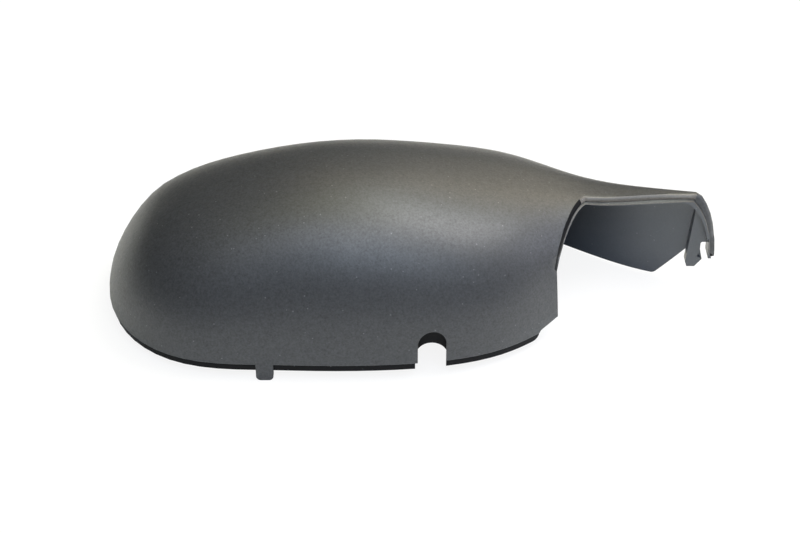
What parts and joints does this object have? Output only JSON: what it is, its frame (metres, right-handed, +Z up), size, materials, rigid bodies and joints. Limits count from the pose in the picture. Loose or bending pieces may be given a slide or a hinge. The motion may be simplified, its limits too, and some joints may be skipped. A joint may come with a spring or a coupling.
{
  "type": "wing mirror cover",
  "caption": "Domed plastic cover for the back of a car's wing mirror, with a tongue round its rim, a locating tab, a notch and a hooked arm that covers the mirror's foot.",
  "frame": {"origin": "centre of the box's underside, where the cover rests on the tip of its tab and on the far side of its rim", "axes": "+X runs along the cover from the nose to the arm's end, +Y from the side with the notch to the other side, +Z up out of the crown"},
  "size_m": [0.292, 0.13, 0.0776],
  "materials": {
    "shell": "unpainted black plastic with a fine moulded grain, satin"
  },
  "bodies": {
    "root": {"mirror_cover": "shell"}
  },
  "joints": []
}
